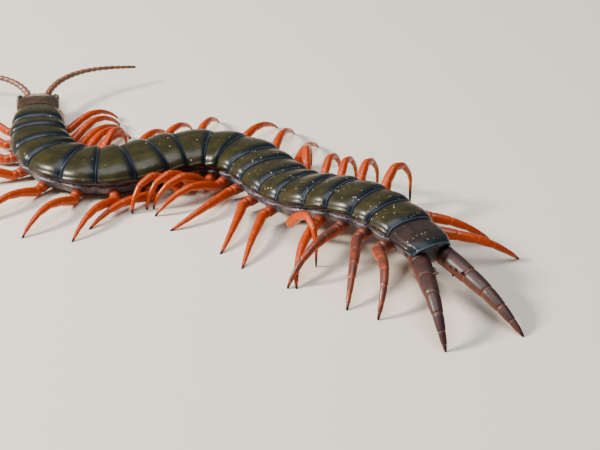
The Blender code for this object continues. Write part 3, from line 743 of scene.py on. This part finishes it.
def leg_finish(name, main, above, under, ring, dusk, rough=0.20, coat=0.08):
    """Horn of a leg: brighter under, painted shade above and near the root, a thin painted
    highlight ring at each joint, a dark claw.

    dusk is how far the upper side takes the darker colour of its painted shade. The UV v counts
    lengths from the root, so each joint is at a whole number.
    """
    made, principled, tree = shader(name)
    coordinates = add(tree, "ShaderNodeTexCoord")
    place = coordinates.outputs["Object"]
    spot = add(tree, "ShaderNodeSeparateXYZ", {0: coordinates.outputs["UV"]})
    u, v = spot.outputs["X"], spot.outputs["Y"]
    mottle = noise(tree, place, 700, 4, 0.6)
    fine = noise(tree, place, FINE_GRAIN, 2)
    top = sum_up(tree, "SINE", sum_up(tree, "MULTIPLY", u, 2 * math.pi))
    colour = mix(tree, ramp(tree, top, 0.1, -0.8), main, under)
    # Painted shade: the first one and a half lengths darken towards the root, next to the trunk.
    colour = mix(tree, sum_up(tree, "MULTIPLY", ramp(tree, v, 1.9, 0.9), 0.65), colour, (0.13, 0.032, 0.018))
    # Painted shade: the upper side turns to the above colour, as far as dusk and the mottle say.
    shade = sum_up(tree, "MULTIPLY", ramp(tree, top, -0.1, 0.6), dusk)
    shade = sum_up(tree, "MULTIPLY", shade, ramp(tree, mottle, 0.15, 0.6))
    colour = mix(tree, shade, colour, above)
    # Painted highlight: a thin ring of the ring colour at each joint.
    part = sum_up(tree, "FRACT", sum_up(tree, "ADD", v, 0.5))
    near_joint = sum_up(tree, "ABSOLUTE", sum_up(tree, "SUBTRACT", part, 0.5))
    colour = mix(tree, sum_up(tree, "MULTIPLY", ramp(tree, near_joint, 0.03, 0.008), 0.55), colour, ring)
    claw = ramp(tree, v, 7.15, 7.55)
    colour = mix(tree, claw, colour, (0.018, 0.010, 0.008))
    rough = sum_up(tree, "MULTIPLY_ADD", fine, 0.18, rough)
    wire(tree, principled, {
        "Base Color": colour, "Roughness": rough, "Specular IOR Level": 0.26,
        "Coat Weight": coat, "Coat Roughness": 0.12,
    })
    relief(tree, principled, fine, 0.000014)
    return made


walking = leg_finish(
    "walking leg", (0.42, 0.046, 0.001), (0.27, 0.022, 0.002), (0.52, 0.090, 0.001),
    (0.52, 0.120, 0.020), 0.5,
)
# The near-side rear legs: their upper side is painted a dark mauve-grey, standing in for shade and the sky's
# reflection, which the far side's rear legs don't get.
shaded_rear_leg = leg_finish(
    "rear walking leg painted shade", (0.36, 0.048, 0.002), (0.060, 0.026, 0.022), (0.46, 0.085, 0.002),
    (0.40, 0.110, 0.030), 0.9,
)
for side in ("left", "right"):
    for i in range(SEGMENTS - 1):
        # Only the near side's rear legs from this one on take the painted shade; the far side's keep the
        # plain finish.
        finish = shaded_rear_leg if i >= SHADED_REAR_FROM and side == "left" else walking
        node = f"leg_{side}_{i + 1:02d}"
        place_piece(node + "_horn", [walking_leg(i, side)], finish, [node])

# Trailing legs
# The last pair drags behind the body: five thick dusky purple-brown lengths and a claw, with
# small dark spines inside the first. They root in swollen side pieces under the last plate.
TRAIL_PODOMERES = (5.7, 4.5, 3.7, 2.9, 2.1, 1.1)
TRAIL_RADIUS = 1.75
TRAIL_TAPER = (1.0, 0.88, 0.72, 0.54, 0.38, 0.24)
TRAIL_ROOT = (2.05, -1.35)
TRAIL_SPREAD, TRAIL_DROOP = 0.22, 0.12
TRAIL_TROCHANTER = 0.9
TRAIL_POSES = {"left": (-76, 6, 16), "right": (-52, -8, -5)}
SPINE_ROWS = ((0.42, 0.30, 0.5), (0.66, 0.45, 0.5), (0.56, -0.35, 0.45), (0.92, 0.62, 1.0))


def trailing_base(side):
    """Root and outward direction of a trailing leg, at the rear of the last segment."""
    sign = 1 if side == "left" else -1
    _, forward, left, up = along(-0.6)
    root = set_out(0.6, sign * TRAIL_ROOT[0], TRAIL_ROOT[1])
    return root, unit(-forward + sign * left * TRAIL_SPREAD - up * TRAIL_DROOP)


def cone(name, foot, way, length, radius):
    """A short pointed spine from foot, in the direction way, bellied like a thorn."""
    t = np.linspace(0, 1, 9)
    level = unit(np.cross((0.0, 0.0, 1.0), way))
    ring = circle(level, np.cross(way, level), 12)
    wide = radius * (1 - t**1.4) + 0.03
    grid = (foot + way * length * t[:, None])[:, None] + wide[:, None, None] * ring[None]
    return lay_surface(name, grid, rows=np.full(9, 2.5))


def trailing_leg(side):
    """One trailing leg with the spines inside its first length."""
    sign = 1 if side == "left" else -1
    root, out = trailing_base(side)
    start = root + out * (1.0 + LEG_GAP)
    heading, lift, curl = (math.radians(angle) for angle in TRAIL_POSES[side])
    joints = standing_chain(start + out * TRAIL_TROCHANTER, heading, lift, TRAIL_PODOMERES, sign * curl)
    hidden, root_radius = root - out * 0.4, TRAIL_RADIUS * 0.92
    pieces = [leg_surface("trailing", hidden, out, 1.5, root_radius, joints, TRAIL_RADIUS, TRAIL_TAPER)]
    ahead = unit(joints[1] - joints[0])
    inner = sign * unit(np.cross((0, 0, 1), ahead))
    for share, rise, size in SPINE_ROWS:
        lean = unit(inner + np.array((0, 0, rise)))
        foot = joints[0] + (joints[1] - joints[0]) * share + lean * TRAIL_RADIUS * 0.72
        pieces.append(cone("spine", foot, unit(lean + ahead * 0.55), 1.05 * (0.7 + 0.5 * size), 0.3))
    return pieces


def coxopleuron(side):
    """Swollen side piece under the last plate, ending in a short blunt spine."""
    root, out = trailing_base(side)
    t = np.linspace(0, 1, 40)
    level = unit(np.cross((0.0, 0.0, 1.0), out))
    above = np.cross(out, level)
    ring = circle(level, above, 36, 0.92)
    wide = 1.78 * np.sin(math.pi * (0.10 + 0.74 * t)) ** 0.45 * (1 - 0.12 * ease(t, 0.93, 1.0))
    centre = root + out * (-4.6 + 5.55 * t[:, None])
    grid = centre[:, None] + wide[:, None, None] * ring[None]
    spike = cone("spike", root - out * 0.9 - above * 1.28, out, 2.3, 0.42)
    return [lay_surface("side", grid), spike]


trailing = leg_finish(
    "trailing leg", (0.075, 0.022, 0.010), (0.030, 0.015, 0.015), (0.20, 0.046, 0.004),
    (0.20, 0.075, 0.030), 0.95, 0.33, 0.02,
)
for side in ("left", "right"):
    node = f"trailing_leg_{side}"
    place_piece(node + "_horn", trailing_leg(side), trailing, [node])
    place_piece(f"side_piece_{side}", coxopleuron(side), rear_horn)

# Head shield and mouthparts
# A flat rounded shield of dark reddish horn, domed and grooved at its front, lies over the
# cheeks and the lip. Two short palps fold under it between the poison claws.
HEAD_LENGTH, HEAD_WIDTH = 7.2, 8.0
HEAD_RISE, HEAD_DEPTH = 1.45, 1.75
HEAD_GAP = 0.16
HEAD_SIDES = 72
ARCH = np.radians((30, 60, 84))


def head_point(ahead, left, up):
    """Points by their distances ahead of the neck, to the left and up."""
    place, forward, side, above = along(TRUNK_LENGTH)
    ahead, left, up = (np.asarray(x, float)[..., None] for x in (ahead, left, up))
    return place + forward * ahead + side * left + above * up


def head_half_width(t):
    """Half the head's width at share t of its length: a full oval, blunter in front."""
    t = np.asarray(t, float)
    away = np.where(t > 0.36, np.abs((t - 0.36) / 0.64) ** 3.4, np.abs((t - 0.36) / 0.72) ** 2.7)
    return HEAD_WIDTH / 2 * np.sqrt(np.clip(1 - away, 0.0025, 1))


def head_dome(t):
    """Height of the head's side edge and of the dome above it, at share t of its length."""
    dome = HEAD_RISE * (0.62 + 0.38 * np.sin(math.pi * np.minimum(t + 0.18, 1.0)))
    return -1.05 * np.maximum(t - 0.5, 0) ** 1.4, dome * (1 - 0.45 * ease(t, 0.86, 1.0))


def head_shield():
    """The shield: an oval dome with a fine rim, a groove down its front and a faint cross dent."""
    share = 1 - (1 - np.linspace(0, 1, 44)) ** 1.7
    t, a = np.meshgrid(share, np.linspace(-1, 1, 61), indexing="ij")
    low, dome = head_dome(t)
    half = head_half_width(t)
    angle = a * math.pi / 2 * 0.97
    groove = 0.10 * np.exp(-((a * half / 0.20) ** 2)) * ease(t, 0.55, 0.95)
    dent = 0.04 * np.exp(-(((np.abs(a) - 0.45) / 0.10) ** 2)) * ease(0.45 - t, 0.0, 0.3)
    up = low + dome * np.cos(angle) ** 0.8 - groove - dent
    rim = 0.05 * np.exp(-(((np.abs(a) - 0.97) / 0.02) ** 2))
    left = half * np.sin(angle) / math.sin(math.pi / 2 * 0.97)
    ahead = HEAD_GAP - 0.25 + (HEAD_LENGTH + 0.25) * t
    outer = head_point(ahead, left, up + rim)
    inner = head_point(ahead * 0.985, left * 0.97, up - 0.22)
    return closed_shell("head_shield", outer, inner, rows=share)


def head_capsule():
    """Cheeks, lip and floor of the head under the shield, as one rounded closed form."""
    rings = []
    for t in 1 - (1 - np.linspace(0, 1, 40)) ** 1.4:
        low, dome = head_dome(t)
        half = float(head_half_width(t)) * 0.965
        depth = HEAD_DEPTH * (0.9 - 0.45 * max(t - 0.55, 0)) * (1 - 0.5 * float(ease(t, 0.9, 1.0)))
        side = [(half * math.sin(a), low + (dome - 0.2) * math.cos(a) ** 0.8) for a in ARCH]
        side += [(half * 0.97, low - 0.42), (half * 0.93, -depth * 0.66), (half * 0.58, -depth)]
        ring = [(0.0, low + dome - 0.2), *side, (0.0, -depth * 1.02), *((-x, z) for x, z in side[::-1])]
        ring = round_section(np.array(ring), HEAD_SIDES)
        rings.append(head_point(HEAD_GAP + (HEAD_LENGTH - 0.12) * t, ring[:, 0], ring[:, 1]))
    return lay_surface("head_capsule", np.array(rings))


def neck():
    """A short sleeve of skin from inside the trunk to inside the head, narrowing forwards."""
    ahead = np.linspace(-0.7, 0.9, 18)[:, None]
    ring = skin_section(TRUNK_LENGTH, 0, 0.0)
    narrow = 0.97 - 0.17 * ease(ahead, 0.0, 0.9) + 0.012 * np.sin(9 * ahead)
    return lay_surface("neck", head_point(ahead, narrow * ring[:, 0], narrow * ring[:, 1] - 0.05))


def tube(name, path, radii, rows=None, sides=16):
    """A closed round tube along points, with a radius at each."""
    ahead = unit(np.gradient(path, axis=0))
    level = unit(np.cross(along(TRUNK_LENGTH)[3] + 1e-4, ahead))
    ring = circle(level, np.cross(ahead, level), sides)
    return lay_surface(name, path[:, None] + np.asarray(radii)[:, None, None] * ring, rows)


def palp(sign):
    """A short jointed feeler of the mouth, folded in under the lip."""
    t = np.linspace(0, 1, 40)
    angle = np.radians(30 + 95 * t)
    ahead, left = 3.6 + 2.5 * np.sin(angle), sign * (0.5 + 1.5 * np.cos(angle))
    path = head_point(ahead, left, -HEAD_DEPTH - 0.05)
    wide = 0.34 * (1 - 0.55 * t**2) * (1 + 0.14 * np.cos(6 * math.pi * t))
    return tube("palp", path, wide)


def horn_finish(name, field, streak, ring=None, ring_width=0.0, tip=None, rough=0.25):
    """Glossy reddish horn with a mottle.

    Where ring is given, rings of that colour lie at whole v, and where tip is given, the horn
    turns black over that stretch of v.
    """
    made, principled, tree = shader(name)
    coordinates = add(tree, "ShaderNodeTexCoord")
    place = coordinates.outputs["Object"]
    mottle = noise(tree, place, 620, 4, 0.6)
    fine = noise(tree, place, 3600, 3)
    colour = mix(tree, ramp(tree, mottle, 0.35, 0.7), field, streak)
    if ring:
        v = add(tree, "ShaderNodeSeparateXYZ", {0: coordinates.outputs["UV"]}).outputs["Y"]
        part = sum_up(tree, "FRACT", sum_up(tree, "ADD", v, 0.5))
        away = sum_up(tree, "ABSOLUTE", sum_up(tree, "SUBTRACT", part, 0.5))
        colour = mix(tree, ramp(tree, away, ring_width, 0.01), colour, ring)
        if tip:
            colour = mix(tree, ramp(tree, v, *tip), colour, (0.012, 0.006, 0.005))
    rough = sum_up(tree, "MULTIPLY_ADD", fine, 0.16, rough - 0.06)
    wire(tree, principled, {
        "Base Color": colour, "Roughness": rough, "Coat Weight": 0.35, "Coat Roughness": 0.14,
    })
    relief(tree, principled, fine, 0.000012)
    return made


red_horn = horn_finish("head horn", (0.024, 0.016, 0.007), (0.060, 0.027, 0.010))
lip_horn = horn_finish("cheek and lip", (0.22, 0.065, 0.018), (0.32, 0.11, 0.035))
place_piece("head_shield", [head_shield()], red_horn, ["head"])
place_piece("head_capsule", [head_capsule()], lip_horn)
place_piece("mouth_palps", [palp(1), palp(-1)], lip_horn)
place_piece("neck_skin", [neck()], soft_skin)

# Eyes
# Four simple eyes a side, small black lenses close together on a low dark swelling at the
# head's front corner.
LENSES = ((5.05, 3.78, -0.10), (5.60, 3.52, -0.02), (5.30, 3.66, 0.36), (5.02, 3.62, 0.62))
LENS_RADIUS = 0.27


def dome(centre, way, radius, height, squeeze=1.0):
    """A low closed dome standing on centre towards way."""
    lift = np.linspace(-0.35, math.pi / 2, 14)
    level = unit(np.cross(along(TRUNK_LENGTH)[3], way))
    ring = circle(level, np.cross(way, level), 28, squeeze)
    wide = radius * np.maximum(np.cos(lift), 0.02)
    grid = centre + way * (height * np.sin(lift))[:, None, None] + wide[:, None, None] * ring[None]
    return lay_surface("dome", grid)


def eyes(sign):
    """The swelling and its four lenses on one side."""
    _, forward, left, up = along(TRUNK_LENGTH)
    out = unit(sign * left * 0.9 + forward * 0.45 + up * 0.15)
    swelling = dome(head_point(5.25, sign * 3.42, 0.12), out, 0.92, 0.44, 0.85)
    lenses = [dome(head_point(x, sign * y, z) + out * 0.06, out, LENS_RADIUS, 0.20) for x, y, z in LENSES]
    return swelling, lenses


lens_black = horn_finish("eye", (0.004, 0.004, 0.005), (0.010, 0.010, 0.012), rough=0.08)
for side, sign in (("left", 1), ("right", -1)):
    swelling, lenses = eyes(sign)
    place_piece(f"eye_swelling_{side}", [swelling], red_horn)
    place_piece(f"eye_lenses_{side}", lenses, lens_black, [f"eyes_{side}"])

# Antennae
# Each antenna is a tapering chain of eighteen beads from a socket in the head's front edge, all
# of one finish with a paler ring at each join.
ANTENNA_LENGTH, ANTENNA_BEADS, ANTENNA_RADIUS = 22.0, 18, 0.68
ANTENNA_ROOT = (1.55, -0.35)
ANTENNA_SPLAY, ANTENNA_CURVE = 0.35, 2.1
ANTENNA_RISE, ANTENNA_DROOP = 0.16, 0.42
BEAD_ROWS = 14


def antenna(sign, spread):
    """One antenna: each bead swells from a narrow neck to its widest at two thirds."""
    _, forward, left, up = along(TRUNK_LENGTH)
    socket = head_point(HEAD_LENGTH * 0.93, sign * ANTENNA_ROOT[0], ANTENNA_ROOT[1])
    place = socket + (forward + sign * left * 0.25) * 0.92
    bead = ANTENNA_LENGTH / ANTENNA_BEADS
    ways = []
    for k in range(ANTENNA_BEADS):
        share = k / (ANTENNA_BEADS - 1)
        angle = sign * (ANTENNA_SPLAY + spread * math.sin(ANTENNA_CURVE * share))
        rise = up * (ANTENNA_RISE - ANTENNA_DROOP * share)
        ways.append(unit(forward * math.cos(angle) + left * math.sin(angle) + rise))
    knots = place + np.vstack([-ways[0] * 1.6, np.zeros(3), np.cumsum(ways, axis=0) * bead])
    t = np.linspace(-1, ANTENNA_BEADS, (ANTENNA_BEADS + 1) * BEAD_ROWS + 1)
    path = read_off(t, np.arange(-1, ANTENNA_BEADS + 1), knots)
    f = t - np.floor(t)
    shape = 0.76 + 0.24 * np.sin(math.pi * np.clip(f * 0.92, 0, 1) ** 1.5) ** 0.8
    wide = ANTENNA_RADIUS * (1 - 0.58 * np.clip(t, 0, None) / ANTENNA_BEADS) * shape
    wide = wide * (1 - 0.75 * ease(t, ANTENNA_BEADS - 0.5, ANTENNA_BEADS))
    return tube("antenna", path, wide, rows=np.maximum(t, 0.5))


feeler = horn_finish(
    "antenna", (0.10, 0.034, 0.011), (0.17, 0.058, 0.018), (0.24, 0.115, 0.060), 0.09, rough=0.42
)
for side, sign, spread in (("left", 1, 0.95), ("right", -1, 0.85)):
    place_piece(f"antenna_{side}_beads", [antenna(sign, spread)], feeler, [f"antenna_{side}"])

# Poison claws
# A broad flat plate under the head carries two thick hooked claws that meet in front of it.
# They are orange-brown with black tips, and the plate ends in two small rows of teeth.
CLAW_RADII = (0.95, 1.12, 1.12, 1.0, 0.82, 0.6, 0.36, 0.1)
CLAW_START, CLAW_REACH = 2.9, 3.7
CLAW_INNER, CLAW_SPAN = 0.95, 2.75
CLAW_TURN = (-18, 108)
CLAW_DROP = 1.05
TOOTH_ROW = 30
TEETH_AT = (-1.25, -0.85, -0.45, 0.45, 0.85, 1.25)


def poison_claw(sign):
    """One claw: four lengths on a half-circle path, the last a smooth pointed hook."""
    t = np.linspace(0, 1, 100)
    angle = np.radians(CLAW_TURN[0] + (CLAW_TURN[1] - CLAW_TURN[0]) * t)
    ahead = CLAW_START + CLAW_REACH * np.sin(angle) * (0.9 + 0.1 * t)
    left = sign * (CLAW_INNER + CLAW_SPAN * np.cos(angle) * (1 - 0.04 * t))
    path = head_point(ahead, left, -HEAD_DEPTH - CLAW_DROP - 0.25 * t)
    wide = np.interp(t, np.linspace(0, 1, 8), CLAW_RADII)
    v = np.interp(t, (0, 0.42, 0.50, 0.58, 1.0), (0.5, 2, 3, 4, 5))
    away = np.abs(v - np.round(v))
    wide = wide * (1 - 0.08 * np.exp(-((away / 0.06) ** 2)) * (np.round(v) > 1) * (t < 0.7))
    hook = tube("claw", path, wide, rows=v, sides=32)
    foot = path[TOOTH_ROW]
    inward = unit(head_point(CLAW_START, sign * 0.4, -HEAD_DEPTH - CLAW_DROP) - foot)
    return [hook, cone("tooth", foot + inward * wide[TOOTH_ROW] * 0.8, inward, 0.55, 0.28)]


def claw_plate():
    """The plate: flat, rounded at its sides, with a middle groove and six small teeth in front."""
    rings = []
    for t in np.linspace(0, 1, 32):
        half = float(np.interp(t, (0, 0.29, 0.71, 1), (2.25, 2.3, 2.0, 1.6))) * (1 - 0.12 * t**10)
        thick = 0.675 * (1 - 0.15 * t) * (1 - 0.25 * t**8)
        turn = np.linspace(0, 2 * math.pi, HEAD_SIDES, endpoint=False)
        x = half * np.sign(np.cos(turn)) * np.abs(np.cos(turn)) ** 0.55
        z = thick * np.sign(np.sin(turn)) * np.abs(np.sin(turn)) ** 0.7
        z = z + 0.12 * np.exp(-((x / 0.2) ** 2)) * (z < 0) * t
        rings.append(head_point(0.32 + 4.2 * t, x, z - HEAD_DEPTH - 1.035))
    ahead = along(TRUNK_LENGTH)[1]
    feet = [head_point(4.35, x, -HEAD_DEPTH - 1.0) for x in TEETH_AT]
    teeth = [cone("tooth", foot, ahead, 0.75, 0.27) for foot in feet]
    return [lay_surface("claw_plate", np.array(rings)), *teeth]


claw_horn = horn_finish(
    "poison claw", (0.36, 0.085, 0.018), (0.46, 0.14, 0.03), (0.55, 0.26, 0.12), 0.10, (4.25, 4.60), 0.20
)
place_piece("claw_plate", claw_plate(), lip_horn, ["poison_claw_plate"])
for side, sign in (("left", 1), ("right", -1)):
    place_piece(f"poison_hook_{side}", poison_claw(sign), claw_horn, [f"poison_claw_{side}"])

# The floor, light and camera
# A plain pale floor, one broad soft light high on the left, a weak fill, and the photograph's
# viewpoint: the camera looks along +Y and down on the animal's hind end.
CAMERA_AIM = (-BODY_CENTRE[0], -BODY_CENTRE[1])
CAMERA_DISTANCE = 406.0
CAMERA_ELEVATION = 29.0
CAMERA_FIELD = 14.5


def floor_finish():
    """Pale warm beige, matt."""
    made, principled, tree = shader("floor")
    principled.inputs["Base Color"].default_value = (0.66, 0.58, 0.48, 1.0)
    principled.inputs["Roughness"].default_value = 0.85
    return made


floor_mesh = bpy.data.meshes.new("floor")
floor_mesh.from_pydata([(-3, -3, 0), (3, -3, 0), (3, 3, 0), (-3, 3, 0)], [], [(0, 1, 2, 3)])
floor_mesh.materials.append(floor_finish())
floor = bpy.data.objects.new("floor", floor_mesh)
bpy.context.scene.collection.objects.link(floor)


def area_light(name, place, size, power, colour):
    """A square soft light at place, in millimetres, turned towards the origin."""
    data = bpy.data.lights.new(name, "AREA")
    data.size, data.energy, data.color = size * MM, power, colour
    lamp = bpy.data.objects.new(name, data)
    bpy.context.scene.collection.objects.link(lamp)
    lamp.location = np.array(place, float) * MM
    lamp.rotation_euler = Vector(-np.array(place, float)).to_track_quat("-Z", "Y").to_euler()


area_light("key", (-440, -70, 300), 110, 7.5, (1.0, 0.95, 0.88))
area_light("sky", (-60, -40, 620), 520, 5.0, (0.90, 0.95, 1.0))
world = bpy.data.worlds.new("studio")
bpy.context.scene.world = world
world.use_nodes = True
world.node_tree.nodes["Background"].inputs["Color"].default_value = (0.80, 0.86, 0.95, 1.0)
world.node_tree.nodes["Background"].inputs["Strength"].default_value = 0.22

lens = bpy.data.cameras.new("camera")
lens.sensor_width = 36.0
lens.lens = 18.0 / math.tan(math.radians(CAMERA_FIELD / 2))
lens.clip_start, lens.clip_end = 0.01, 20.0
camera = bpy.data.objects.new("camera", lens)
bpy.context.scene.collection.objects.link(camera)
tilt = math.radians(CAMERA_ELEVATION)
camera.location = (
    CAMERA_AIM[0] * MM,
    (CAMERA_AIM[1] - CAMERA_DISTANCE * math.cos(tilt)) * MM,
    CAMERA_DISTANCE * math.sin(tilt) * MM,
)
camera.rotation_euler = (math.pi / 2 - tilt, 0.0, 0.0)
bpy.context.scene.camera = camera
